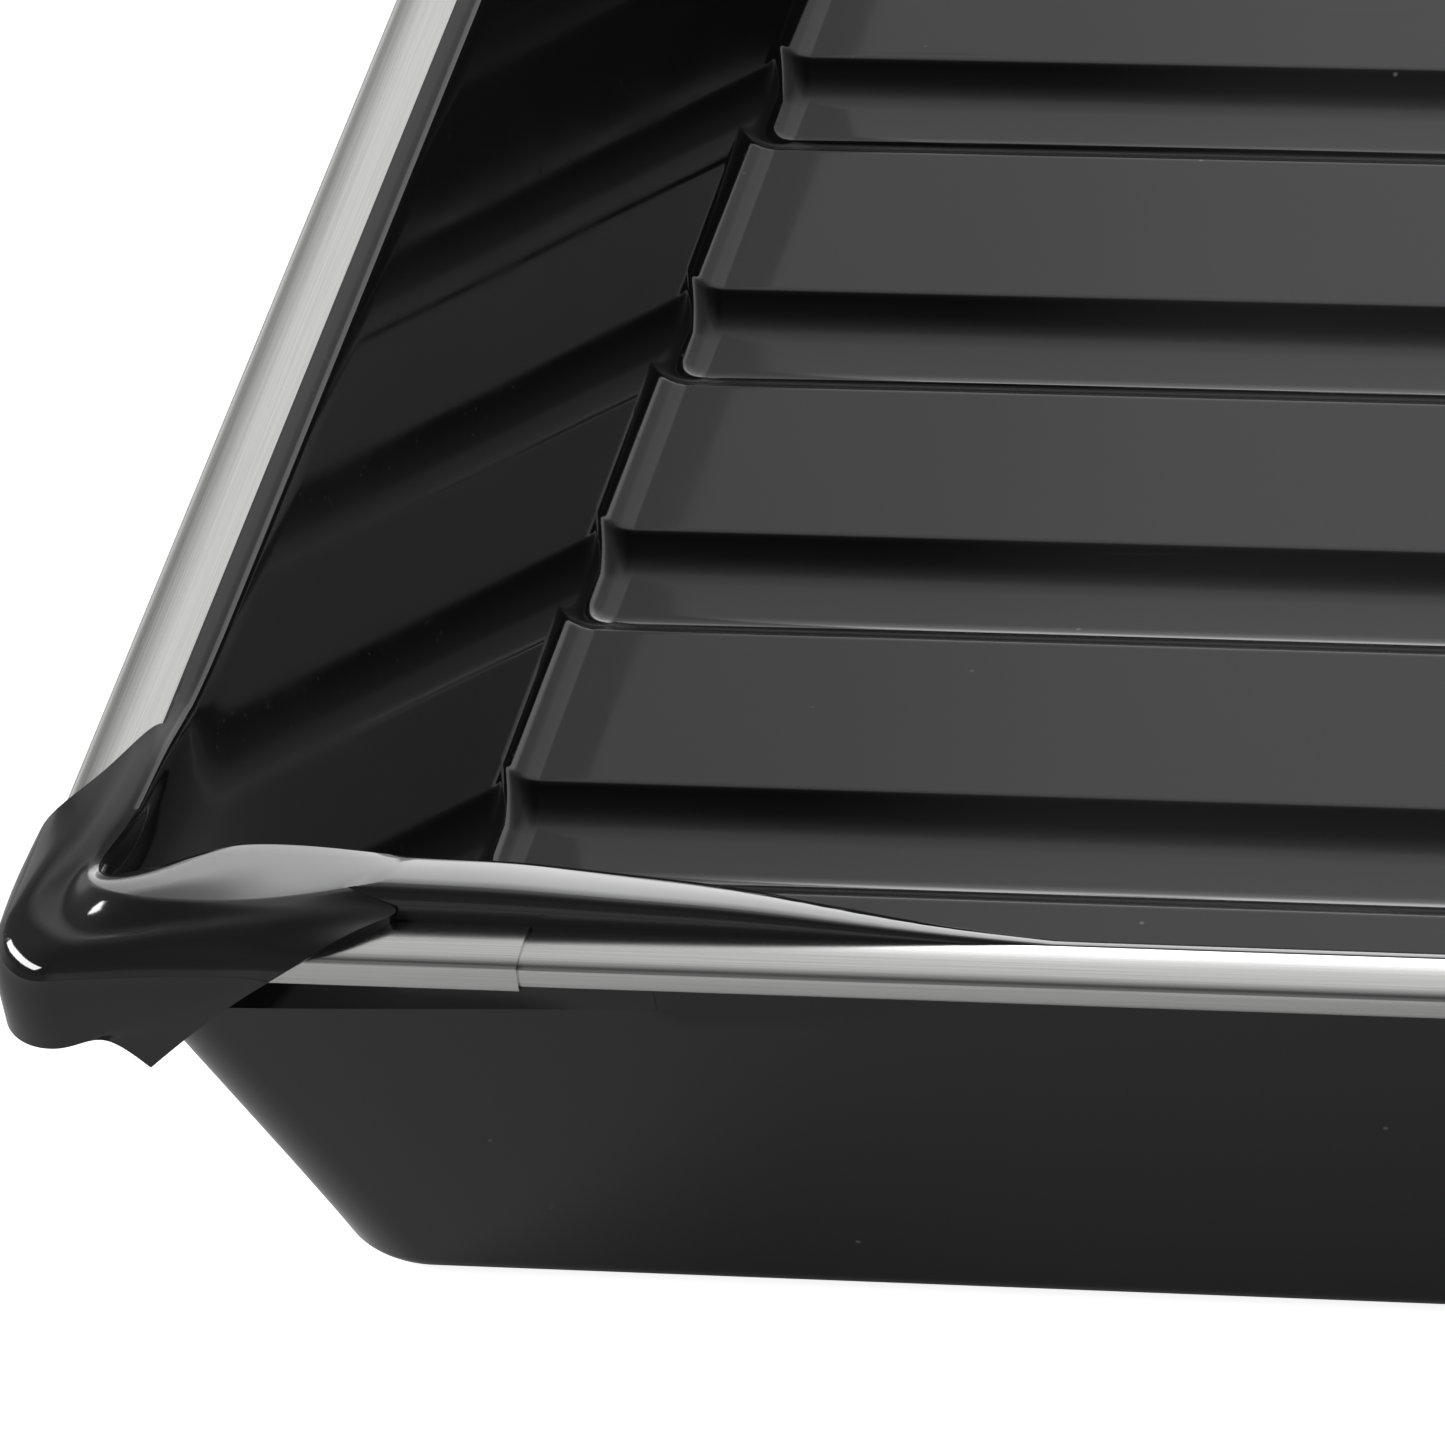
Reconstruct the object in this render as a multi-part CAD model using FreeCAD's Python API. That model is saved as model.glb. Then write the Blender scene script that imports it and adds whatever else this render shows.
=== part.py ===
import FreeCAD, Part
import math
import os

# Developing tray for large photographic prints, in millimetres.
# One sheet of hard PVC is formed into a deep basin with a grooved floor and a pouring lip at each corner.
# A stainless steel channel stiffens each side of the rim, and short steel sleeves cover the ends of the
# two long channels.  The origin is under the middle of the tray, on the surface it stands on, with +Z up
# and the long sides along X.

# Driving dimensions
TRAY_LENGTH = 640.0          # over the steel channels, along X
TRAY_WIDTH = 540.0           # over the steel channels, along Y
RIM_HEIGHT = 83.0            # top of the channels above the table
SHEET = 3.0                  # PVC sheet
WALL_RUN = 20.0              # how far a side wall leans outwards between floor and rim
RIM_CORNER_RADIUS = 10.0     # inside the basin at the rim, seen from above
FLOOR_CORNER_RADIUS = 28.0   # the same at the floor
FLOOR_FILLET = 6.0           # inside, between floor and walls

GROOVE_PITCH = 67.5
GROOVES_EACH_SIDE = 3        # besides the one on the centre line
GROOVE_DEPTH = 3.7
GROOVE_FLAT = 7.8            # flat bottom of a groove
GROOVE_RADIUS = 14.0         # hollow sides of a groove

CHANNEL_WIDTH = 10.0
CHANNEL_STEEL = 0.8
CHANNEL_EDGE_RADIUS = 1.0
SHOULDER = 3.0               # PVC that shows between a channel and the basin
SLEEVE_STEEL = 0.5
SLEEVE_LENGTH = 58.5

LIP_SHEET = 1.8              # the sheet is drawn thinner where it is pulled over the rim
LIP_GAP = 0.5                # air between the lip and the sleeves
LIP_DROP = 13.0              # how far the lip hangs down from the top of the channels
LIP_INNER_REACH = 30.0       # along the side from the end of the corner, at the basin
LIP_OUTER_REACH = 11.0       # the same at the outside
LIP_EDGE_RADIUS = 4.0

# Derived heights and half sizes
channel_height = SHEET + 2 * CHANNEL_STEEL
rim_top = RIM_HEIGHT - CHANNEL_STEEL
groove_top = SHEET
plateau_top = SHEET + GROOVE_DEPTH
rim_inner_x = TRAY_LENGTH / 2 - CHANNEL_WIDTH - SHOULDER
rim_inner_y = TRAY_WIDTH / 2 - CHANNEL_WIDTH - SHOULDER
lean = WALL_RUN / (rim_top - plateau_top)
wall_thickness = SHEET * math.hypot(1.0, lean)
arc_centre_x = rim_inner_x - RIM_CORNER_RADIUS
arc_centre_y = rim_inner_y - RIM_CORNER_RADIUS
channel_end_gap = 4.0        # a channel runs this far past the start of the corner, under the lip

lip_inset = 0.2              # the lip rises this far outside the basin's inner edge
lip_reach = SHOULDER + CHANNEL_WIDTH + SLEEVE_STEEL + LIP_GAP + LIP_SHEET

UP = FreeCAD.Vector(0, 0, 1)


def point(x, y, z):
    return FreeCAD.Vector(x, y, z)


def rounded_rectangle(half_x, half_y, radius, z):
    """Closed outline in a level plane, its straight sides joined by quarter arcs."""
    edges = []
    corners = [(1, 1, 0), (-1, 1, 90), (-1, -1, 180), (1, -1, 270)]
    for sign_x, sign_y, start in corners:
        centre = point(sign_x * (half_x - radius), sign_y * (half_y - radius), z)
        circle = Part.Circle(centre, UP, radius)
        edges.append(Part.Arc(circle, math.radians(start), math.radians(start + 90)).toShape())
    sides = []
    for index, arc in enumerate(edges):
        following = edges[(index + 1) % len(edges)]
        sides.append(arc)
        sides.append(Part.LineSegment(arc.Vertexes[-1].Point, following.Vertexes[0].Point).toShape())
    return Part.Wire(sides)


def basin(bottom_z, top_z, skin, fillet):
    """Solid with leaning walls; skin is how far it lies outside the basin's inner face."""
    outlines = []
    for z in (bottom_z, top_z):
        depth = (rim_top - z) / (rim_top - plateau_top)
        half_x = rim_inner_x - depth * WALL_RUN + skin
        half_y = rim_inner_y - depth * WALL_RUN + skin
        radius = RIM_CORNER_RADIUS + depth * (FLOOR_CORNER_RADIUS - RIM_CORNER_RADIUS) + skin
        outlines.append(rounded_rectangle(half_x, half_y, radius, z))
    solid = Part.makeLoft(outlines, True, True)
    foot = [edge for edge in solid.Edges if edge.BoundBox.ZMax < bottom_z + 0.01]
    return solid.makeFillet(fillet, foot)


def groove_cutter(y, radius, edge_z):
    """Bar along X with the section of one groove; radius is that of its hollow sides."""
    centre_z = groove_top + GROOVE_RADIUS
    bottom_z = centre_z - radius
    roof_z = plateau_top + 2 * FLOOR_FILLET
    turn = math.acos((centre_z - edge_z) / radius)
    half_flat = GROOVE_FLAT / 2
    half_width = half_flat + radius * math.sin(turn)
    halfway = point(0, half_flat + radius * math.sin(turn / 2), centre_z - radius * math.cos(turn / 2))
    right = Part.Arc(point(0, half_flat, bottom_z), halfway, point(0, half_width, edge_z)).toShape()
    left = right.mirror(point(0, 0, 0), point(0, 1, 0))
    corners = [point(0, half_width, edge_z), point(0, half_width, roof_z),
               point(0, -half_width, roof_z), point(0, -half_width, edge_z)]
    roof = Part.makePolygon(corners)
    floor = Part.makePolygon([point(0, -half_flat, bottom_z), point(0, half_flat, bottom_z)])
    outline = Part.Wire(Part.__sortEdges__(right.Edges + left.Edges + roof.Edges + floor.Edges))
    bar = Part.Face(outline).extrude(point(TRAY_LENGTH, 0, 0))
    bar.translate(point(-TRAY_LENGTH / 2, y, 0))
    return bar


def grooved_basin(skin, fillet, top_z):
    """Basin whose floor drops at each groove."""
    drop = SHEET if skin else 0.0
    shallow = basin(plateau_top - drop, top_z, skin, fillet)
    deep = basin(groove_top - drop, top_z, skin, fillet)
    radius = GROOVE_RADIUS + drop
    grooves = []
    for step in range(-GROOVES_EACH_SIDE, GROOVES_EACH_SIDE + 1):
        bar = groove_cutter(step * GROOVE_PITCH, radius, plateau_top - drop)
        grooves.append(deep.common(bar))
    return shallow.fuse(grooves)


def lip_section():
    """Section of a lip: a hood from the basin's edge, over the channel and down outside it."""
    near = RIM_CORNER_RADIUS + lip_inset
    far = RIM_CORNER_RADIUS + lip_reach
    top = RIM_HEIGHT + SLEEVE_STEEL + LIP_GAP + LIP_SHEET
    root = rim_top - SHEET
    hem = RIM_HEIGHT - LIP_DROP
    bend = LIP_EDGE_RADIUS
    slope = math.sqrt(0.5)

    def arc(centre_x, centre_z, radius, side):
        start = point(centre_x + side * radius, 0, centre_z)
        middle = point(centre_x + side * radius * slope, 0, centre_z + radius * slope)
        end = point(centre_x, 0, centre_z + radius)
        return Part.Arc(start, middle, end).toShape()

    inner_bend = bend - LIP_SHEET
    edges = [
        arc(near + bend, top - bend, bend, -1),
        arc(far - bend, top - bend, bend, 1),
        arc(near + bend, top - bend, inner_bend, -1),
        arc(far - bend, top - bend, inner_bend, 1),
    ]
    straight = [
        (near, root, near, top - bend),
        (near + bend, top, far - bend, top),
        (far, top - bend, far, hem),
        (far, hem, far - LIP_SHEET, hem),
        (far - LIP_SHEET, hem, far - LIP_SHEET, top - bend),
        (far - bend, top - LIP_SHEET, near + bend, top - LIP_SHEET),
        (near + LIP_SHEET, top - bend, near + LIP_SHEET, root),
        (near + LIP_SHEET, root, near, root),
    ]
    for x0, z0, x1, z1 in straight:
        edges.append(Part.LineSegment(point(x0, 0, z0), point(x1, 0, z1)).toShape())
    return Part.Face(Part.Wire(Part.__sortEdges__(edges)))


def corner_lip():
    """Pouring lip of the corner at +X +Y: a quarter turn, and a run along each side cut on the skew."""
    section = lip_section()
    turn = section.revolve(point(0, 0, 0), UP, 90)
    along_y = section.extrude(point(0, -LIP_INNER_REACH, 0))
    inner = RIM_CORNER_RADIUS
    outer = inner + lip_reach + 1.0
    behind = -LIP_INNER_REACH - 1.0
    cut = Part.makePolygon([
        point(inner, -LIP_INNER_REACH, 0),
        point(outer, -LIP_OUTER_REACH, 0),
        point(outer, behind, 0),
        point(inner, behind, 0),
        point(inner, -LIP_INNER_REACH, 0),
    ])
    waste = Part.Face(cut).extrude(point(0, 0, 2 * RIM_HEIGHT))
    along_y = along_y.cut(waste)
    along_x = along_y.mirror(point(0, 0, 0), point(1, -1, 0))
    lip = turn.fuse([along_y, along_x]).removeSplitter()
    lip.translate(point(arc_centre_x, arc_centre_y, 0))
    return lip


def four_corners(shape):
    """The shape at +X +Y, and its mirror images at the other three corners."""
    across_x = shape.mirror(point(0, 0, 0), point(1, 0, 0))
    both = [shape, across_x]
    return both + [item.mirror(point(0, 0, 0), point(0, 1, 0)) for item in both]


def flange_strips():
    """Flat edge of the sheet that each steel channel grips, between one lip and the next."""
    root = wall_thickness / 2
    depth = SHOULDER + CHANNEL_WIDTH - CHANNEL_STEEL - root
    half_x = arc_centre_x - LIP_INNER_REACH
    half_y = arc_centre_y - LIP_INNER_REACH
    rear = Part.makeBox(2 * half_x, depth, SHEET, point(-half_x, rim_inner_y + root, rim_top - SHEET))
    right = Part.makeBox(depth, 2 * half_y, SHEET, point(rim_inner_x + root, -half_y, rim_top - SHEET))
    front = rear.mirror(point(0, 0, 0), point(0, 1, 0))
    left = right.mirror(point(0, 0, 0), point(1, 0, 0))
    return [rear, right, front, left]


def make_tray_shell():
    outside = grooved_basin(wall_thickness, FLOOR_FILLET + SHEET, rim_top)
    inside = grooved_basin(0.0, FLOOR_FILLET, rim_top + 1.0)
    shell = outside.cut(inside)
    return shell.fuse(flange_strips() + four_corners(corner_lip())).removeSplitter()


def steel_section(outer_y, height, width, steel, length, bend):
    """Straight channel along X that is open towards the tray; outer_y is its outer face, on +Y."""
    middle_z = RIM_HEIGHT - channel_height / 2
    low = middle_z - height / 2
    block = Part.makeBox(length, width, height, point(-length / 2, outer_y - width, low))
    long_edges = []
    for edge in block.Edges:
        box = edge.BoundBox
        if box.XLength > length / 2 and box.YMax > outer_y - 0.01:
            long_edges.append(edge)
    block = block.makeFillet(bend, long_edges)
    hollow = Part.makeBox(length, width, height - 2 * steel,
                          point(-length / 2, outer_y - width - steel, low + steel))
    return block.cut(hollow)


def make_channel(side_half, length):
    return steel_section(side_half, channel_height, CHANNEL_WIDTH, CHANNEL_STEEL, length, CHANNEL_EDGE_RADIUS)


def make_sleeve(side_half):
    height = channel_height + 2 * SLEEVE_STEEL
    width = CHANNEL_WIDTH + SLEEVE_STEEL
    bend = CHANNEL_EDGE_RADIUS + SLEEVE_STEEL
    return steel_section(side_half + SLEEVE_STEEL, height, width, SLEEVE_STEEL, SLEEVE_LENGTH, bend)


def save(shape, name):
    if not shape.isValid():
        raise ValueError(name + " is not a valid solid")
    shape.exportStep(os.path.join("parts", name + ".step"))
    print(name, len(shape.Solids), "solid", round(shape.Volume / 1000.0, 2), "cm3")


os.makedirs("parts", exist_ok=True)

save(make_tray_shell(), "tray_shell")

long_channel = 2 * (arc_centre_x + channel_end_gap)
short_channel = 2 * (arc_centre_y + channel_end_gap)

rear_channel = make_channel(TRAY_WIDTH / 2, long_channel)
save(rear_channel, "rim_channel_rear")
save(rear_channel.mirror(point(0, 0, 0), point(0, 1, 0)), "rim_channel_front")

side_channel = make_channel(TRAY_LENGTH / 2, short_channel)
side_channel.rotate(point(0, 0, 0), UP, -90)
save(side_channel, "rim_channel_right")
save(side_channel.mirror(point(0, 0, 0), point(1, 0, 0)), "rim_channel_left")

sleeve = make_sleeve(TRAY_WIDTH / 2)
sleeve.translate(point((long_channel - SLEEVE_LENGTH) / 2, 0, 0))
sleeve_names = ["end_sleeve_rear_right", "end_sleeve_rear_left",
                "end_sleeve_front_right", "end_sleeve_front_left"]
for shape, name in zip(four_corners(sleeve), sleeve_names):
    save(shape, name)
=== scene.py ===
import math

import bpy
import numpy as np
from mathutils import Matrix, Vector


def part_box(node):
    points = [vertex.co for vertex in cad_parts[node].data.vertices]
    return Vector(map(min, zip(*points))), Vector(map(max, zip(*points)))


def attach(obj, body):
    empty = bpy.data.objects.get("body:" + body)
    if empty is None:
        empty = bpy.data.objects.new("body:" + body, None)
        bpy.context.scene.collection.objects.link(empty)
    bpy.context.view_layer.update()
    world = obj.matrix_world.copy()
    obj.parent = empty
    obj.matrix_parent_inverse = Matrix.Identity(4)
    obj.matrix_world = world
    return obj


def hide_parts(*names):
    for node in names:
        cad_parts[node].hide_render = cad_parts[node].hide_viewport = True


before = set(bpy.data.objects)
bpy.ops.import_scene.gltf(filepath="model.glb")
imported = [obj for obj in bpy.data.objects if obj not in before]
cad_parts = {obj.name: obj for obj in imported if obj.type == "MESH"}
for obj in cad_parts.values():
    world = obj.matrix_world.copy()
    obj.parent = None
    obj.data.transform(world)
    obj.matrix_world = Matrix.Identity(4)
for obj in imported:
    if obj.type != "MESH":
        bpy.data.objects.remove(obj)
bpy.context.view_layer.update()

# ---------------------------------------------------------------------------------------------------
# The tray: one sheet of hard black PVC, 3 mm thick, heated and drawn into a deep basin with broad flat
# bands and narrow grooves across its floor.  At each corner the flange is pulled over the steel as a lip.
# Lengths are in millimetres and become metres when a piece is made.

MM = 0.001
channel_low, channel_high = (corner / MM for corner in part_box("rim_channel_front"))
side_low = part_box("rim_channel_left")[0] / MM

SHEET = 3.0
STEEL = 0.8
CHANNEL_WIDTH = channel_high.y - channel_low.y
SHOULDER = 3.0                       # PVC between the steel and the basin
RIM_TOP = channel_high.z - STEEL     # top of the flange, inside the channels
RIM_X = -side_low.x - CHANNEL_WIDTH - SHOULDER
RIM_Y = -channel_low.y - CHANNEL_WIDTH - SHOULDER
RIM_RADIUS = 10.0                    # plan corner of the basin at the rim
FOOT_RADIUS = 13.0                   # the same at the floor
LEAST_RADIUS = 3.0
WALL_RUN = 20.0                      # lean of a wall between floor and rim
FLOOR_FILLET = 6.0
OUTER_FILLET = 4.5
BEAD_LEVEL = 1.2                     # underside of the bead round the foot
GROOVE_PITCH = 67.5
GROOVES_EACH_SIDE = 3
GROOVE_FLAT = 7.8
GROOVE_RADIUS = 14.0
GROOVE_DEPTH = 3.7
GROOVE_BLEND = 0.5                   # rounding where a groove meets a band

plateau = SHEET + GROOVE_DEPTH
lean = WALL_RUN / (RIM_TOP - plateau)
lean_angle = math.atan(lean)
wall_skin = SHEET * math.hypot(1.0, lean)


def smoothstep(low, high, value):
    share = min(1.0, max(0.0, (value - low) / (high - low)))
    return share * share * (3 - 2 * share)


def soft_min(a, b, blend):
    share = max(0.0, 1.0 - abs(a - b) / blend)
    return min(a, b) - share * share * blend / 4


def through(knots, values, at):
    """Smooth curve through values given at rising knots (a natural cubic spline)."""
    knots, values, at = (np.asarray(item, float) for item in (knots, values, at))
    count = len(knots)
    gaps = np.diff(knots)
    system = np.eye(count)
    right = np.zeros(values.shape)
    slopes = np.diff(values, axis=0) / gaps.reshape((-1,) + (1,) * (values.ndim - 1))
    for i in range(1, count - 1):
        system[i, i - 1:i + 2] = gaps[i - 1], 2 * (gaps[i - 1] + gaps[i]), gaps[i]
        right[i] = 6 * (slopes[i] - slopes[i - 1])
    bend = np.linalg.solve(system, right.reshape(count, -1)).reshape(values.shape)
    place = np.clip(np.searchsorted(knots, at) - 1, 0, count - 2)
    gap = gaps[place]
    ahead = (at - knots[place]) / gap
    behind = 1 - ahead
    shape = (-1,) + (1,) * (values.ndim - 1)
    gap, ahead, behind = (item.reshape(shape) for item in (gap, ahead, behind))
    curve = (behind ** 3 - behind) * bend[place] + (ahead ** 3 - ahead) * bend[place + 1]
    return behind * values[place] + ahead * values[place + 1] + gap ** 2 / 6 * curve


def floor_height(v, radius, flat_level, soft):
    """Height of the floor's top or under face at distance v from the middle line."""
    step = min(GROOVES_EACH_SIDE, round(v / GROOVE_PITCH))
    out = max(0.0, abs(v - step * GROOVE_PITCH) - GROOVE_FLAT / 2)
    centre = SHEET + GROOVE_RADIUS
    hollow = centre - math.sqrt(max(0.0, radius ** 2 - min(out, radius) ** 2))
    return soft_min(hollow, flat_level, soft)


def floor_top(v):
    return floor_height(v, GROOVE_RADIUS, plateau, GROOVE_BLEND)


def floor_under(v):
    return floor_height(v, GROOVE_RADIUS + SHEET, plateau - SHEET, GROOVE_BLEND)


# Columns of the sheet, from the middle of the left side, round the corner, to the middle of the front.
CORNER_START = 217.5                 # along the left side, just past the last groove
CORNER_END = 240.0                   # along the front
CORNER_COLUMNS = 110

groove_steps = [0.0, 3.9, 5.4, 6.9, 8.4, 9.8, 11.0, 12.0, 12.6, 13.0, 13.4, 13.8, 14.5]
side_columns = set()
for step in range(GROOVES_EACH_SIDE + 1):
    for reach in groove_steps:
        side_columns.add(round(step * GROOVE_PITCH + reach, 3))
        side_columns.add(round(step * GROOVE_PITCH - reach, 3))
    side_columns.add((step + 0.5) * GROOVE_PITCH)
side_columns = sorted(v for v in side_columns if 0 <= v < CORNER_START - 0.4)
columns = [("side", v) for v in side_columns]
columns += [("corner", i / CORNER_COLUMNS) for i in range(CORNER_COLUMNS + 1)]
columns += [("front", u) for u in (236, 232, 228, 224, 220, 215, 210, 205, 200, 195, 190, 185, 180,
                                   175, 170, 165, 160, 150, 140, 120, 90, 60, 30, 0)]


def along(outline, column, start=CORNER_START, end=CORNER_END, corner_share=None):
    """Point of a rounded outline (half sizes and corner radius) at a column.

    corner_share is the share of a corner column that lies on the middle of the bend, if it is given.
    """
    half_u, half_v, radius = outline
    arc_u, arc_v = half_u - radius, half_v - radius
    kind, value = column
    if kind == "side":
        past = max(0.0, value - arc_v)
        return arc_u + math.sqrt(radius ** 2 - past ** 2), value
    if kind == "front":
        past = max(0.0, value - arc_u)
        return value, arc_v + math.sqrt(radius ** 2 - past ** 2)
    first = math.asin(min(1.0, max(0.0, (start - arc_v) / radius)))
    last = math.pi / 2 - math.asin(min(1.0, max(0.0, (end - arc_u) / radius)))
    run_in, run_out = max(0.0, arc_v - start), max(0.0, arc_u - end)
    whole = run_in + radius * (last - first) + run_out
    way = value * whole
    if corner_share is not None:
        bend_way = run_in + radius * (math.pi / 4 - first)
        if value < corner_share:
            way = value / corner_share * bend_way
        else:
            way = bend_way + (value - corner_share) / (1 - corner_share) * (whole - bend_way)
    if way < run_in:
        return half_u, start + way
    turn = first + (way - run_in) / radius
    if turn < last:
        return arc_u + radius * math.cos(turn), arc_v + radius * math.sin(turn)
    return arc_u - (way - run_in - radius * (last - first)), half_v


def outline_at(z, shift, skin=0.0, front_shift=0.0):
    """Outline of the basin at height z; shift is how far it lies outside the wall's own line."""
    depth = (RIM_TOP - z) / (RIM_TOP - plateau)
    radius = RIM_RADIUS + depth * (FOOT_RADIUS - RIM_RADIUS) + skin + min(shift, 0.0)
    half = -depth * WALL_RUN + shift + skin
    return RIM_X + half, RIM_Y + half + front_shift, max(radius, LEAST_RADIUS)


def from_corner(column):
    """Distance of a column from the corner of the rim: below zero on the left side."""
    u, v = along((RIM_X, RIM_Y, RIM_RADIUS), column)
    return (RIM_X - u) - (RIM_Y - v)


# The pull that formed the lips left the corners of the basin spread outwards, raised the edge of the
# basin along the lips, and left a long wave with a gentle inner slope in the flange beside them.
FLARE = 5.0
wave_places = [-9, -3, 3, 8, 14, 27, 40, 59, 77, 92, 107, 125, 142]
wave_heights = [0, 0.35, 0.92, 1.12, 1.16, 1.12, 1.05, 0.98, 0.82, 0.68, 0.46, 0.18, 0]
broad_places = [-7, -1, 4, 10, 22, 30, 42]
broad_heights = [0, 0.35, 0.8, 0.95, 0.95, 0.7, 0]
lift_places = [-53, -46, -36, -22, -12, -4, 2]
lift_heights = [0, 0.3, 0.8, 1.0, 0.8, 0.3, 0]
spout_places = [-20, -12, -5, 1, 7]
spout_heights = [0, 0.5, 0.85, 0.4, 0]
WAVE_SWELL = 4.3
FLARE_REACH_LEFT, FLARE_REACH_FRONT = 34.0, 60.0
FLARE_TOP = 72.0                     # the flare grows no more above this height
SWELL_LOW, SWELL_HIGH = 36.0, 70.0   # the wave swells the wall between these heights


def flare(distance, z):
    reach = FLARE_REACH_LEFT if distance < 0 else FLARE_REACH_FRONT
    rise = (min(z, FLARE_TOP) - plateau) / (RIM_TOP - plateau)
    return FLARE * rise * math.exp(-(distance / reach) ** 2)


def swell(distance, z):
    return WAVE_SWELL * wave(distance) * smoothstep(SWELL_LOW, SWELL_HIGH, z)


def amount(places, heights, distance):
    if distance <= places[0] or distance >= places[-1]:
        return 0.0
    return max(0.0, float(through(places, heights, [distance])[0]))


def wave(distance):
    return amount(wave_places, wave_heights, distance)


# Sections across the rim, as (distance outside the basin's edge, height), where the flange lies level
# and where the wave is highest.  The last point is the crest.
shoulder_radius = 3.2
shoulder_centre = shoulder_radius / math.cos(lean_angle) - lean * shoulder_radius
level_section = [(-lean * (RIM_TOP - z), z) for z in (70.0, 74.0, 77.5)]
for turn in (lean_angle, 0.55, 0.85, 1.2, math.pi / 2):
    level_section.append((shoulder_centre - shoulder_radius * math.cos(turn),
                          RIM_TOP - shoulder_radius * (1 - math.sin(turn))))
wave_section = [(-7.5, 70.0), (-9.8, 76.0), (-11.3, 81.0), (-12.0, 83.0), (-11.5, 84.2), (-9.5, 85.0),
                (-5.0, 86.2), (0.0, 87.3)]
broad_section = [(-8.0, 70.0), (-10.8, 75.8), (-12.8, 80.2), (-13.8, 82.2), (-13.4, 83.4), (-9.0, 84.3),
                 (-1.0, 85.6), (6.0, 86.6)]
lift_section = [(-3.2, 70.0), (-2.2, 74.5), (-1.4, 78.0), (-1.0, 80.2), (-0.7, 81.6), (-0.2, 82.7),
                (0.6, 83.6), (1.8, 84.3)]
spout_section = [(-3.2, 70.0), (-1.6, 74.5), (0.2, 78.2), (1.8, 80.6), (3.0, 81.9), (4.0, 82.7),
                 (4.6, 83.2), (5.4, 83.4)]
CREST = len(level_section) - 1
level_fall = [(2.6, 82.2), (2.75, 82.2), (2.9, 82.2), (3.0, 82.2), (6.0, 82.2), (12.1, 82.2)]
wave_fall = [(1.2, 87.1), (2.1, 86.4), (2.7, 85.0), (2.95, 83.0), (6.0, 82.2), (12.1, 82.2)]

vertices_top, vertices_under, sheet_of, faces = [], [], [], []


def add_point(top, under, sheet):
    vertices_top.append(top)
    vertices_under.append(under)
    sheet_of.append(sheet)
    return len(vertices_top) - 1


def join_lines(lines):
    """Faces between neighbouring lines of points."""
    for left, right in zip(lines, lines[1:]):
        for row in range(len(left) - 1):
            faces.append((left[row], left[row + 1], right[row + 1], right[row]))


# Floor fillet and wall
grid = []
fillet_steps = 9
BEAD_WIDTH = 4.0                     # underside of the foot bead
wall_heights = [20.0, 30.0, 40.0, 48.0, 54.0, 58.0, 62.0, 66.0]
for column in columns:
    distance = from_corner(column)
    level_top = floor_top(column[1]) if column[0] == "side" else plateau
    level_under = floor_under(column[1]) if column[0] == "side" else plateau - SHEET
    line = []
    for step in range(fillet_steps + 1):
        turn = (math.pi / 2 - lean_angle) * step / fillet_steps
        point = []
        foot_level = min(level_under, BEAD_LEVEL) if step else level_under
        for level, radius, skin in ((level_top, FLOOR_FILLET, 0.0),
                                    (foot_level, OUTER_FILLET, wall_skin)):
            z = level + radius * (1 - math.cos(turn))
            middle = level + radius
            own = -lean * (RIM_TOP - middle) - radius / math.cos(lean_angle) + radius * math.sin(turn)
            own -= BEAD_WIDTH if skin and not step else 0.0
            shift = own + lean * (RIM_TOP - z)
            u, v = along(outline_at(z, shift, skin), column)
            point.append((u, v, z))
        line.append(add_point(point[0], point[1], 0.0))
    for z in wall_heights:
        spread = flare(distance, z)
        u, v = along(outline_at(z, spread, 0.0, -swell(distance, z)), column)
        under_z = z - SHEET * math.sin(lean_angle)
        under_u, under_v = along(outline_at(under_z, spread, wall_skin), column)
        line.append(add_point((u, v, z), (under_u, under_v, under_z), 0.0))
    share = wave(distance)
    broad = amount(broad_places, broad_heights, distance)
    lift = amount(lift_places, lift_heights, distance)
    spout = amount(spout_places, spout_heights, distance)
    for index, level in enumerate(level_section):
        raised = [share * (wave_section[index][i] - level[i])
                  + broad * (broad_section[index][i] - wave_section[index][i]) for i in (0, 1)]
        out, z = (level[i] + lift * (lift_section[index][i] - level[i])
                  + spout * (spout_section[index][i] - level[i]) for i in (0, 1))
        z += raised[1]
        wall_line = -lean * (RIM_TOP - z)
        spread = flare(distance, z) * (1 - smoothstep(1, CREST, index))
        u, v = along(outline_at(z, out - wall_line + spread, 0.0, raised[0]), column)
        line.append(add_point((u, v, z), None, SHEET))
    grid.append(line)

# Round the corner the hot sheet evens out its bends: the rim's points are averaged along the rim.
crest_row = len(grid[0]) - 1
EVENING_PASSES = 24
evening = []
for column in columns:
    distance = from_corner(column)
    evening.append(smoothstep(-34, -20, distance) * (1 - smoothstep(12, 24, distance)))
evening = np.array(evening[1:-1])[:, None]
for row in range(crest_row - CREST, crest_row + 1):
    ring = np.array([vertices_top[line[row]] for line in grid])
    for number in range(EVENING_PASSES):
        between = (ring[:-2] + ring[2:]) / 2 - ring[1:-1]
        ring[1:-1] += evening * between / 2
    for line, spot in zip(grid, ring):
        vertices_top[line[row]] = tuple(float(value) for value in spot)

join_lines(grid)

# Floor: long strips that follow the grooves, and one flat panel in front of the last groove
side_count = len(side_columns)
middle_ends = []
for index in range(side_count + 1):
    v = vertices_top[grid[index][0]][1]
    top, under = floor_top(v), floor_under(v)
    middle_ends.append(add_point((0.0, v, top), (0.0, v, under), 0.0))
for index in range(side_count):
    faces.append((middle_ends[index], grid[index][0], grid[index + 1][0], middle_ends[index + 1]))
faces.append(tuple([middle_ends[side_count]] + [line[0] for line in grid[side_count:]]))

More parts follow.
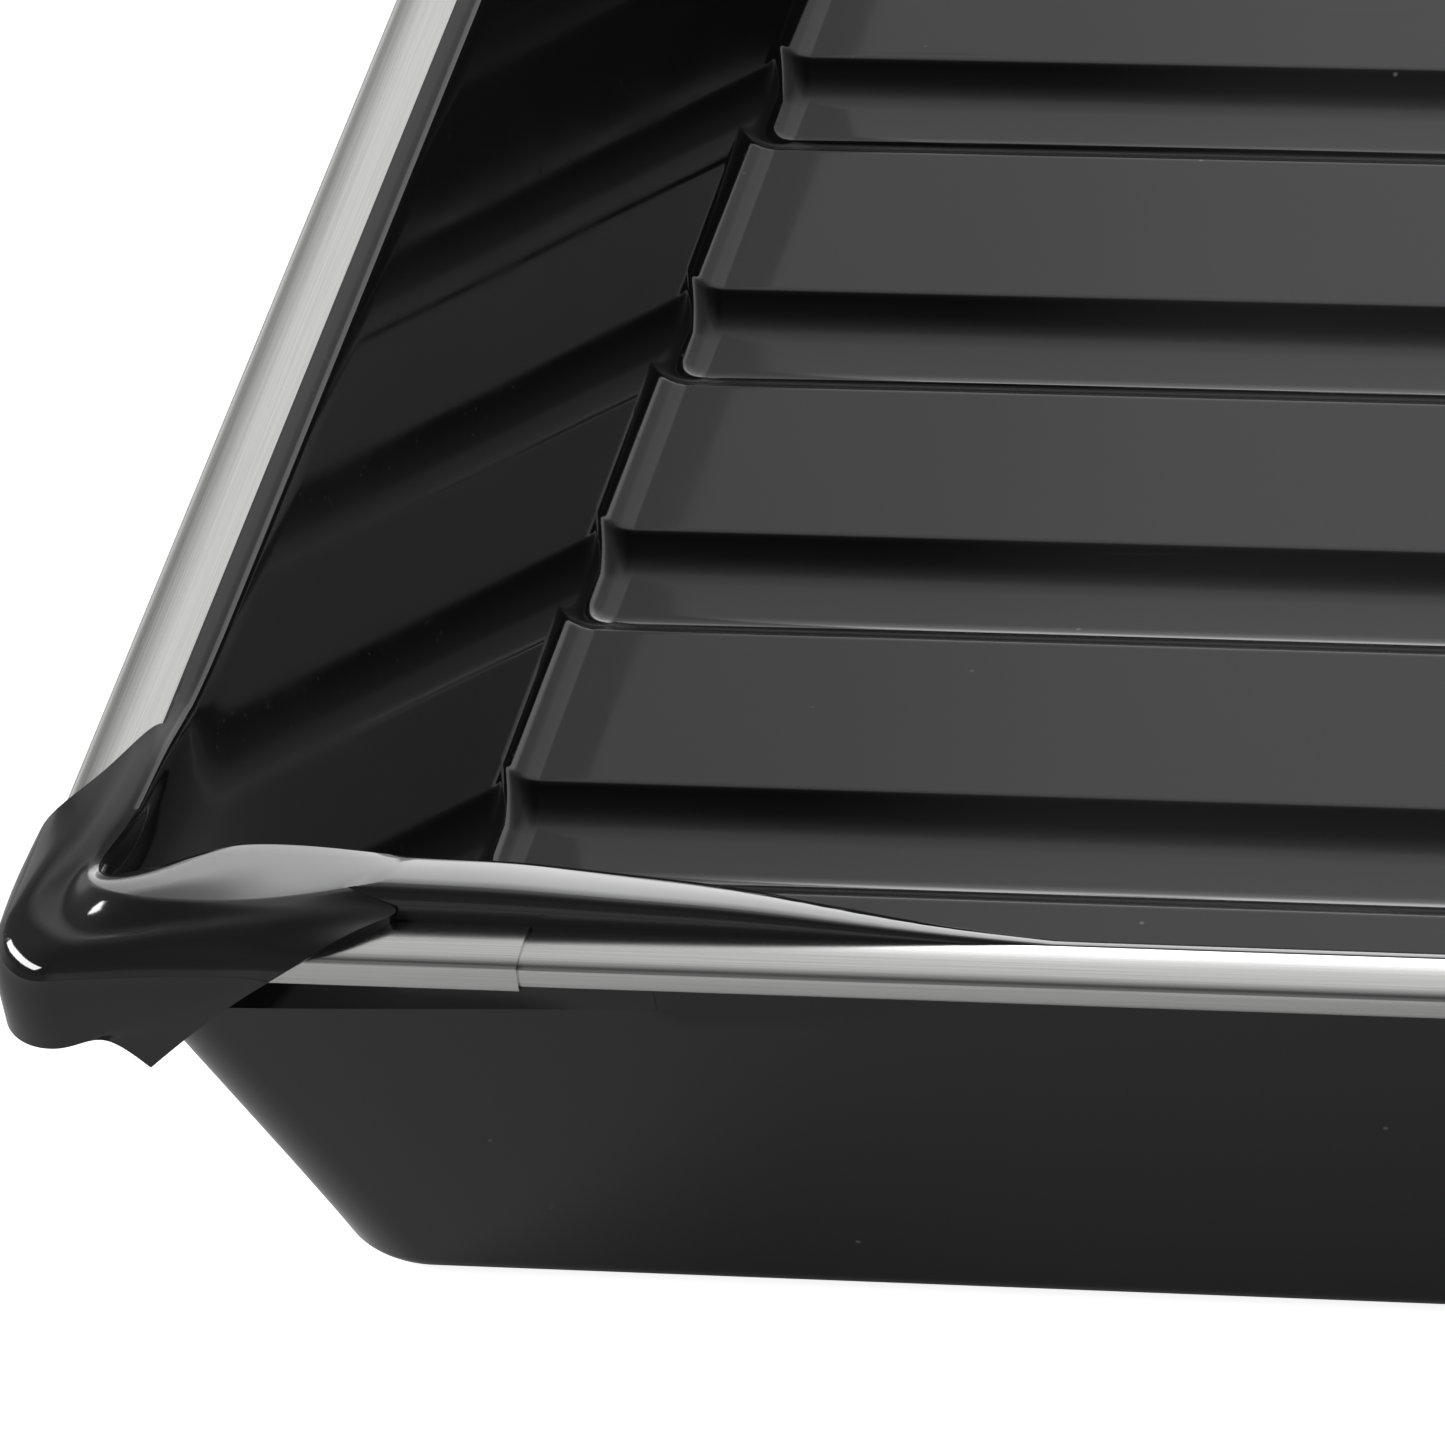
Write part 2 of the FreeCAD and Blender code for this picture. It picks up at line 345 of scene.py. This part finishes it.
# Flange between the lips
LIP_LEFT, LIP_FRONT = 213.0, 270.0


def nearest_column(kind_axis, value):
    """Column whose crest is nearest a place: kind_axis 0 looks along the front, 1 along the left."""
    def miss(number):
        wrong_side = (from_corner(columns[number]) > 0) != (kind_axis == 0)
        return abs(vertices_top[grid[number][crest_row]][kind_axis] - value) + 1000 * wrong_side
    return min(range(side_count + CORNER_COLUMNS + 1), key=miss)


lip_first = nearest_column(1, LIP_LEFT)
lip_last = nearest_column(0, LIP_FRONT)


def add_flange(numbers):
    strips = []
    for number in numbers:
        share = wave(from_corner(columns[number]))
        line = [grid[number][crest_row]]
        for level, raised in zip(level_fall, wave_fall):
            out = level[0] + share * (raised[0] - level[0])
            z = level[1] + share * (raised[1] - level[1])
            u, v = along((RIM_X + out, RIM_Y + out, RIM_RADIUS), columns[number])
            line.append(add_point((u, v, z), None, SHEET))
        strips.append(line)
    join_lines(strips)


add_flange(range(0, lip_first + 1))
add_flange(range(lip_last, len(columns)))

# Pouring lip.  Each station along the lip has the same seven points, from just outside the crest,
# over the steel and down to the hem, as (distance outside the basin's edge, height).
lip_stations = [0.0, 0.2, 0.4, 0.58, 0.72, 0.86, 1.0]
lip_sections = [
    [(3.6, 84.0), (7.5, 84.6), (12.0, 84.5), (14.6, 83.0), (15.6, 80.0), (16.0, 77.0), (15.8, 74.0)],
    [(4.4, 85.0), (8.2, 85.2), (12.0, 84.6), (15.2, 82.6), (16.4, 79.0), (16.4, 74.0), (16.2, 68.0)],
    [(5.2, 84.9), (8.8, 84.9), (12.2, 84.2), (15.2, 82.0), (16.4, 78.0), (16.4, 73.0), (16.2, 67.0)],
    [(8.6, 83.7), (11.2, 83.4), (13.4, 82.4), (15.4, 80.4), (16.3, 77.0), (16.3, 71.5), (15.8, 66.4)],
    [(8.2, 86.0), (10.6, 85.3), (13.2, 83.6), (15.3, 80.8), (16.0, 76.5), (15.6, 71.5), (15.2, 67.0)],
    [(7.0, 86.8), (9.6, 86.1), (12.6, 84.4), (15.2, 81.4), (15.8, 77.0), (15.6, 72.5), (15.9, 68.8)],
    [(3.2, 85.2), (6.5, 85.0), (11.5, 84.6), (14.6, 82.2), (16.0, 78.0), (16.6, 72.0), (17.0, 65.0)],
]
lip_left_ends = [216.0, 227.0, 236.0, 240.5, 243.0, 245.5, 247.5]
lip_front_ends = [262.5, 265.0, 270.5, 276.0, 283.0, 291.0, 299.0]
LIP_ROWS = 34
LIP_SHEET = 1.6                      # the pulled sheet is thinner
THINNING_ROWS = 12

lip_numbers = list(range(lip_first, lip_last + 1))
crest_points = np.array([vertices_top[grid[n][crest_row]] for n in lip_numbers])
before_points = np.array([vertices_top[grid[n][crest_row - 1]] for n in lip_numbers])
gaps = np.linalg.norm(np.diff(crest_points, axis=0), axis=1)
lip_shares = np.concatenate([[0.0], np.cumsum(gaps)]) / gaps.sum()
sections = through(lip_stations, lip_sections, lip_shares)
bend_share = float(np.interp(0.0, [from_corner(columns[n]) for n in lip_numbers], lip_shares))
lip_lines = []
for place, number in enumerate(lip_numbers):
    share = lip_shares[place]
    control = [before_points[place], crest_points[place]]
    for row in range(sections.shape[1]):
        out, z = sections[place, row]
        outline = (RIM_X + out, RIM_Y + out, RIM_RADIUS)
        u, v = along(outline, ("corner", share), lip_left_ends[row], lip_front_ends[row], bend_share)
        control.append(np.array([u, v, z]))
    control = np.array(control)
    steps = np.linalg.norm(np.diff(control, axis=0), axis=1)
    knots = np.concatenate([[0.0], np.cumsum(np.sqrt(steps))])
    inside = np.linspace(knots[1], knots[-1], LIP_ROWS + 1)[1:]
    curve = through(knots, control, inside)
    line = [grid[number][crest_row]]
    for index, spot in enumerate(curve):
        thin = SHEET + (LIP_SHEET - SHEET) * smoothstep(0, THINNING_ROWS, index + 1)
        line.append(add_point(tuple(spot), None, thin))
    lip_lines.append(line)
join_lines(lip_lines)

# The four quarters of the tray are mirror images of one another, joined along the two middle lines.
all_top, all_under, all_sheet, all_faces = [], [], [], []
known = {}
for sign_x, sign_y in ((-1, -1), (1, -1), (1, 1), (-1, 1)):
    number_of = []
    for index, (u, v, z) in enumerate(vertices_top):
        spot = (sign_x * u, sign_y * v, z)
        on_seam = u < 1e-6 or v < 1e-6
        key = (round(spot[0], 4), round(spot[1], 4), index)
        if on_seam and key in known:
            number_of.append(known[key])
            continue
        if on_seam:
            known[key] = len(all_top)
        number_of.append(len(all_top))
        all_top.append(spot)
        under = vertices_under[index]
        all_under.append(None if under is None else (sign_x * under[0], sign_y * under[1], under[2]))
        all_sheet.append(sheet_of[index])
    for face in faces:
        numbers = [number_of[i] for i in face]
        all_faces.append(numbers if sign_x * sign_y > 0 else numbers[::-1])

top = np.array(all_top)
normals = np.zeros_like(top)
for face in all_faces:
    ring = top[face]
    normal = np.zeros(3)
    for a, b in zip(ring, np.roll(ring, -1, axis=0)):
        normal += np.cross(a, b)
    normals[face] += normal
if normals[all_faces[0]].sum(axis=0)[2] < 0:
    normals = -normals
    all_faces = [face[::-1] for face in all_faces]
normals /= np.linalg.norm(normals, axis=1)[:, None]
under = np.array([spot if spot is not None else top[i] - normals[i] * all_sheet[i]
                  for i, spot in enumerate(all_under)])

count = len(top)
closed = list(all_faces) + [[i + count for i in face[::-1]] for face in all_faces]
used = {}
for face in all_faces:
    for a, b in zip(face, face[1:] + face[:1]):
        used[(a, b)] = True
for a, b in used:
    if (b, a) not in used:
        closed.append([b, a, a + count, b + count])

tray_mesh = bpy.data.meshes.new("tray")
tray_mesh.from_pydata(np.vstack([top, under]) * MM, [], closed)
tray_mesh.validate()
tray_mesh.shade_smooth()
tray_mesh.set_sharp_from_angle(angle=math.radians(38))
tray = bpy.data.objects.new("tray", tray_mesh)
bpy.context.scene.collection.objects.link(tray)
even = tray.modifiers.new("even_shading", "WEIGHTED_NORMAL")
even.keep_sharp = True
even.weight = 60


def new_material(name):
    material = bpy.data.materials.new(name)
    material.use_nodes = True
    nodes, links = material.node_tree.nodes, material.node_tree.links
    nodes.clear()
    output = nodes.new("ShaderNodeOutputMaterial")
    shader = nodes.new("ShaderNodeBsdfPrincipled")
    links.new(shader.outputs["BSDF"], output.inputs["Surface"])
    return material, nodes, links, shader


grain_group = bpy.data.node_groups.new("grain", "ShaderNodeTree")
for socket_name, socket_kind, preset in (("Vector", "NodeSocketVector", (0, 0, 0)),
                                         ("Stretch", "NodeSocketVector", (1, 1, 1)),
                                         ("Scale", "NodeSocketFloat", 10.0),
                                         ("Detail", "NodeSocketFloat", 3.0)):
    socket = grain_group.interface.new_socket(name=socket_name, in_out="INPUT", socket_type=socket_kind)
    socket.default_value = preset
grain_group.interface.new_socket(name="Value", in_out="OUTPUT", socket_type="NodeSocketFloat")
grain_in = grain_group.nodes.new("NodeGroupInput")
grain_out = grain_group.nodes.new("NodeGroupOutput")
grain_mapping = grain_group.nodes.new("ShaderNodeMapping")
grain_noise = grain_group.nodes.new("ShaderNodeTexNoise")
grain_group.links.new(grain_in.outputs["Vector"], grain_mapping.inputs["Vector"])
grain_group.links.new(grain_in.outputs["Stretch"], grain_mapping.inputs["Scale"])
grain_group.links.new(grain_mapping.outputs["Vector"], grain_noise.inputs["Vector"])
grain_group.links.new(grain_in.outputs["Scale"], grain_noise.inputs["Scale"])
grain_group.links.new(grain_in.outputs["Detail"], grain_noise.inputs["Detail"])
grain_group.links.new(grain_noise.outputs["Fac"], grain_out.inputs["Value"])


def add_noise(nodes, links, vector, scale, detail=3.0, stretch=(1, 1, 1)):
    """Grain, mottle, scratches or brush lines from the shared group; stretch draws it out in lines."""
    group = nodes.new("ShaderNodeGroup")
    group.node_tree = grain_group
    links.new(vector, group.inputs["Vector"])
    group.inputs["Stretch"].default_value = stretch
    group.inputs["Scale"].default_value = scale
    group.inputs["Detail"].default_value = detail
    return group.outputs["Value"]


def add_range(nodes, links, value, low, high, to_low, to_high):
    scale = nodes.new("ShaderNodeMapRange")
    scale.inputs["From Min"].default_value = low
    scale.inputs["From Max"].default_value = high
    scale.inputs["To Min"].default_value = to_low
    scale.inputs["To Max"].default_value = to_high
    links.new(value, scale.inputs["Value"])
    return scale.outputs["Result"]


# Glossy black PVC: nearly clean, with a faint mottle in the gloss, fine wiping scratches along the
# bands and a few specks of dust.
plastic, nodes, links, shader = new_material("black_pvc")
place = nodes.new("ShaderNodeTexCoord").outputs["Object"]
mottle = add_noise(nodes, links, place, 35.0, 4.0)
scratches = add_noise(nodes, links, place, 900.0, 2.0, (0.02, 1, 1))
gloss = add_range(nodes, links, mottle, 0.35, 0.7, 0.045, 0.10)
scratch_mask = add_range(nodes, links, scratches, 0.66, 0.74, 0.0, 0.16)
total = nodes.new("ShaderNodeMath")
total.operation = "ADD"
links.new(gloss, total.inputs[0])
links.new(scratch_mask, total.inputs[1])
links.new(total.outputs["Value"], shader.inputs["Roughness"])
specks = nodes.new("ShaderNodeTexVoronoi")
specks.inputs["Scale"].default_value = 60.0
links.new(place, specks.inputs["Vector"])
dust = add_range(nodes, links, specks.outputs["Distance"], 0.012, 0.03, 1.0, 0.0)
colour = nodes.new("ShaderNodeMix")
colour.data_type = "RGBA"
colour.inputs["A"].default_value = (0.012, 0.012, 0.0125, 1)
colour.inputs["B"].default_value = (0.12, 0.12, 0.12, 1)
links.new(dust, colour.inputs["Factor"])
links.new(colour.outputs["Result"], shader.inputs["Base Color"])
shader.inputs["IOR"].default_value = 1.53
ripple = add_noise(nodes, links, place, 9.0, 1.0)
bump = nodes.new("ShaderNodeBump")
bump.inputs["Strength"].default_value = 0.05
bump.inputs["Distance"].default_value = 0.004
links.new(ripple, bump.inputs["Height"])
links.new(bump.outputs["Normal"], shader.inputs["Normal"])

tray_mesh.materials.append(plastic)
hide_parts("tray_shell")
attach(tray, "root")

# ---------------------------------------------------------------------------------------------------
# Steel channels and end sleeves: stainless strip folded to a U that grips the flange, brushed along
# its length.  The sleeves slip over the ends of the long channels before the lips are pulled down.


def brushed_steel(name, stretch):
    material, nodes, links, shader = new_material(name)
    place = nodes.new("ShaderNodeTexCoord").outputs["Object"]
    lines = add_noise(nodes, links, place, 3800.0, 3.0, stretch)
    broad = add_noise(nodes, links, place, 160.0, 2.0, stretch)
    rough = add_range(nodes, links, broad, 0.3, 0.7, 0.17, 0.25)
    links.new(rough, shader.inputs["Roughness"])
    tint = add_range(nodes, links, lines, 0.3, 0.7, 0.0, 1.0)
    colour = nodes.new("ShaderNodeMix")
    colour.data_type = "RGBA"
    colour.inputs["A"].default_value = (0.60, 0.60, 0.595, 1)
    colour.inputs["B"].default_value = (0.70, 0.70, 0.69, 1)
    links.new(tint, colour.inputs["Factor"])
    links.new(colour.outputs["Result"], shader.inputs["Base Color"])
    shader.inputs["Metallic"].default_value = 1.0
    bump = nodes.new("ShaderNodeBump")
    bump.inputs["Strength"].default_value = 0.05
    bump.inputs["Distance"].default_value = 0.0002
    links.new(lines, bump.inputs["Height"])
    links.new(bump.outputs["Normal"], shader.inputs["Normal"])
    return material


steel_along_x = brushed_steel("steel_brushed_along_x", (0.006, 1, 1))
steel_along_y = brushed_steel("steel_brushed_along_y", (1, 0.006, 1))

CROWN = 0.60                         # the top face is rolled slightly round
BEND = 1.5                           # outer corners of the fold


def folded_section(width, low, high, steel):
    """Closed U outline as (distance from the open side, height), with a crowned top face."""
    def half_fold(level, side, inset):
        # one flange from its edge to the web; side is +1 at the top
        bend = BEND - inset
        points = []
        for step in range(9):
            across = step / 8 * (width - BEND)
            sag = CROWN * ((across - width * 0.55) / (width * 0.5)) ** 2 if side > 0 else 0.0
            points.append((across, level - side * (inset + sag)))
        for step in range(1, 7):
            turn = step / 6 * math.pi / 2
            sag = CROWN * (0.45 * 2 * (1 - BEND / width)) ** 2 * (1 - step / 6) if side > 0 else 0.0
            points.append((width - BEND + bend * math.sin(turn),
                           level - side * (BEND - bend * math.cos(turn) + sag)))
        return points
    outside = half_fold(low, -1, 0.0) + half_fold(high, 1, 0.0)[::-1]
    inside = half_fold(low, -1, steel) + half_fold(high, 1, steel)[::-1]
    return outside + inside[::-1]


def folded_bar(name, node, width, steel, side, along_x):
    low, high = (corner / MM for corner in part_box(node))
    outline = folded_section(width, low.z, high.z, steel)
    outer = (low.y if side < 0 else high.y) if along_x else (low.x if side < 0 else high.x)
    start, end = (low.x, high.x) if along_x else (low.y, high.y)
    points, skins = [], []
    for station in (start, end):
        for across, z in outline:
            place = outer - side * (width - across)
            points.append((station, place, z) if along_x else (place, station, z))
    size = len(outline)
    for i in range(size):
        j = (i + 1) % size
        skins.append((i, j, j + size, i + size))
    half_size = size // 2
    for i in range(half_size - 1):
        a, b, c, d = i, i + 1, size - 2 - i, size - 1 - i
        skins.append((d, c, b, a))
        skins.append((a + size, b + size, c + size, d + size))
    if (side > 0) == along_x:
        skins = [face[::-1] for face in skins]
    mesh = bpy.data.meshes.new(name)
    mesh.from_pydata([tuple(value * MM for value in point) for point in points], [], skins)
    mesh.validate()
    mesh.shade_smooth()
    mesh.set_sharp_from_angle(angle=math.radians(35))
    mesh.materials.append(steel_along_x if along_x else steel_along_y)
    bar = bpy.data.objects.new(name, mesh)
    bpy.context.scene.collection.objects.link(bar)
    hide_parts(node)
    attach(bar, "root")


folded_bar("front_channel", "rim_channel_front", CHANNEL_WIDTH, STEEL, -1, True)
folded_bar("rear_channel", "rim_channel_rear", CHANNEL_WIDTH, STEEL, 1, True)
folded_bar("left_channel", "rim_channel_left", CHANNEL_WIDTH, STEEL, -1, False)
folded_bar("right_channel", "rim_channel_right", CHANNEL_WIDTH, STEEL, 1, False)
SLEEVE_STEEL = 0.5
for side, across_name in ((-1, "front"), (1, "rear")):
    for end_name in ("left", "right"):
        folded_bar(f"{across_name}_{end_name}_sleeve", f"end_sleeve_{across_name}_{end_name}",
                   CHANNEL_WIDTH + SLEEVE_STEEL, SLEEVE_STEEL, side, True)

# ---------------------------------------------------------------------------------------------------
# The studio: a pale paper floor, a surround that is brightest low behind the tray, and one soft lamp.
# It is not part of the object.

FLOOR_SIZE = 12.0
half = FLOOR_SIZE / 2
floor_mesh = bpy.data.meshes.new("studio_floor")
floor_mesh.from_pydata([(-half, -half, 0), (half, -half, 0), (half, half, 0), (-half, half, 0)], [],
                       [(0, 1, 2, 3)])
studio_floor = bpy.data.objects.new("studio_floor", floor_mesh)
bpy.context.scene.collection.objects.link(studio_floor)
paper, nodes, links, shader = new_material("white_paper")
place = nodes.new("ShaderNodeTexCoord").outputs["Object"]
grain = add_noise(nodes, links, place, 4.0, 2.0)
tone = nodes.new("ShaderNodeMix")
tone.data_type = "RGBA"
tone.inputs["A"].default_value = (0.47, 0.47, 0.47, 1)
tone.inputs["B"].default_value = (0.51, 0.51, 0.51, 1)
links.new(grain, tone.inputs["Factor"])
links.new(tone.outputs["Result"], shader.inputs["Base Color"])
shader.inputs["Roughness"].default_value = 0.9
ray = nodes.new("ShaderNodeLightPath")
glow = add_range(nodes, links, ray.outputs["Is Camera Ray"], 0, 1, 0.0, 0.90)
shader.inputs["Emission Color"].default_value = (1, 1, 1, 1)
links.new(glow, shader.inputs["Emission Strength"])
floor_mesh.materials.append(paper)

# The surround is dark overhead, behind the camera and towards both sides.
surround = bpy.data.worlds.new("surround")
surround.use_nodes = True
nodes, links = surround.node_tree.nodes, surround.node_tree.links
direction = nodes.new("ShaderNodeSeparateXYZ")
links.new(nodes.new("ShaderNodeTexCoord").outputs["Generated"], direction.inputs["Vector"])
by_height = nodes.new("ShaderNodeValToRGB")
stops = by_height.color_ramp.elements
stops[0].position, stops[0].color = 0.0, (1, 1, 1, 1)
stops[1].position, stops[1].color = 1.0, (0.02, 0.02, 0.02, 1)
for position, value in ((0.27, 1.0), (0.36, 0.40), (0.50, 0.25), (0.80, 0.22), (0.90, 0.10)):
    stop = stops.new(position)
    stop.color = (value, value, value, 1)
links.new(direction.outputs["Z"], by_height.inputs["Fac"])
front = add_range(nodes, links, direction.outputs["Y"], -0.3, 0.3, 0.16, 1.0)
left_edge = add_range(nodes, links, direction.outputs["X"], -0.42, -0.20, 0.22, 1.0)
right_edge = add_range(nodes, links, direction.outputs["X"], 0.20, 0.50, 1.0, 0.40)
sides = nodes.new("ShaderNodeMath")
sides.operation = "MULTIPLY"
links.new(left_edge, sides.inputs[0])
links.new(right_edge, sides.inputs[1])
reach = nodes.new("ShaderNodeMath")
reach.operation = "MULTIPLY"
links.new(front, reach.inputs[0])
links.new(sides.outputs["Value"], reach.inputs[1])
product = nodes.new("ShaderNodeMix")
product.data_type = "RGBA"
product.blend_type = "MULTIPLY"
product.inputs["Factor"].default_value = 1.0
links.new(by_height.outputs["Color"], product.inputs["A"])
links.new(reach.outputs["Value"], product.inputs["B"])
links.new(product.outputs["Result"], nodes["Background"].inputs["Color"])
nodes["Background"].inputs["Strength"].default_value = 3.6
bpy.context.scene.world = surround


def soft_lamp(name, place, target, width, height, power):
    light = bpy.data.lights.new(name, "AREA")
    light.shape = "RECTANGLE"
    light.size, light.size_y = width, height
    light.energy = power
    lamp = bpy.data.objects.new(name, light)
    aim = (Vector(target) - Vector(place)).to_track_quat("-Z", "Y")
    lamp.matrix_world = Matrix.Translation(place) @ aim.to_matrix().to_4x4()
    bpy.context.scene.collection.objects.link(lamp)


soft_lamp("key", (-1.95, -0.7, 1.45), (-0.3, -0.25, 0.08), 2.0, 0.45, 55.0)

# The camera looks over the front left corner from above and to the right.
LENS = 418.8
PITCH, HEADING, ROLL = math.radians(35.0), math.radians(17.03), math.radians(-8.20)
DISTANCE = 2.4532
RIGHT_OF_CORNER = 0.105123           # metres from the tray's front left corner to the view's middle
ABOVE_CORNER = 0.032879

right = Vector((math.cos(HEADING), math.sin(HEADING), 0))
ahead = Vector((-math.sin(HEADING) * math.cos(PITCH), math.cos(HEADING) * math.cos(PITCH),
                -math.sin(PITCH)))
upward = right.cross(ahead)
turned_right = math.cos(ROLL) * right + math.sin(ROLL) * upward
turned_up = math.cos(ROLL) * upward - math.sin(ROLL) * right
SENSOR = 36.0
corner = Vector((side_low.x, channel_low.y, channel_high.z)) * MM
seat = corner + RIGHT_OF_CORNER * turned_right + ABOVE_CORNER * turned_up - DISTANCE * ahead
camera_data = bpy.data.cameras.new("camera")
camera_data.lens = LENS
camera_data.sensor_width = SENSOR
camera_data.clip_start = 0.1
camera_data.clip_end = 100.0
camera = bpy.data.objects.new("camera", camera_data)
camera.matrix_world = Matrix((
    (turned_right.x, turned_up.x, -ahead.x, seat.x),
    (turned_right.y, turned_up.y, -ahead.y, seat.y),
    (turned_right.z, turned_up.z, -ahead.z, seat.z),
    (0, 0, 0, 1),
))
bpy.context.scene.collection.objects.link(camera)
bpy.context.scene.camera = camera
bpy.context.scene.view_settings.view_transform = "Standard"
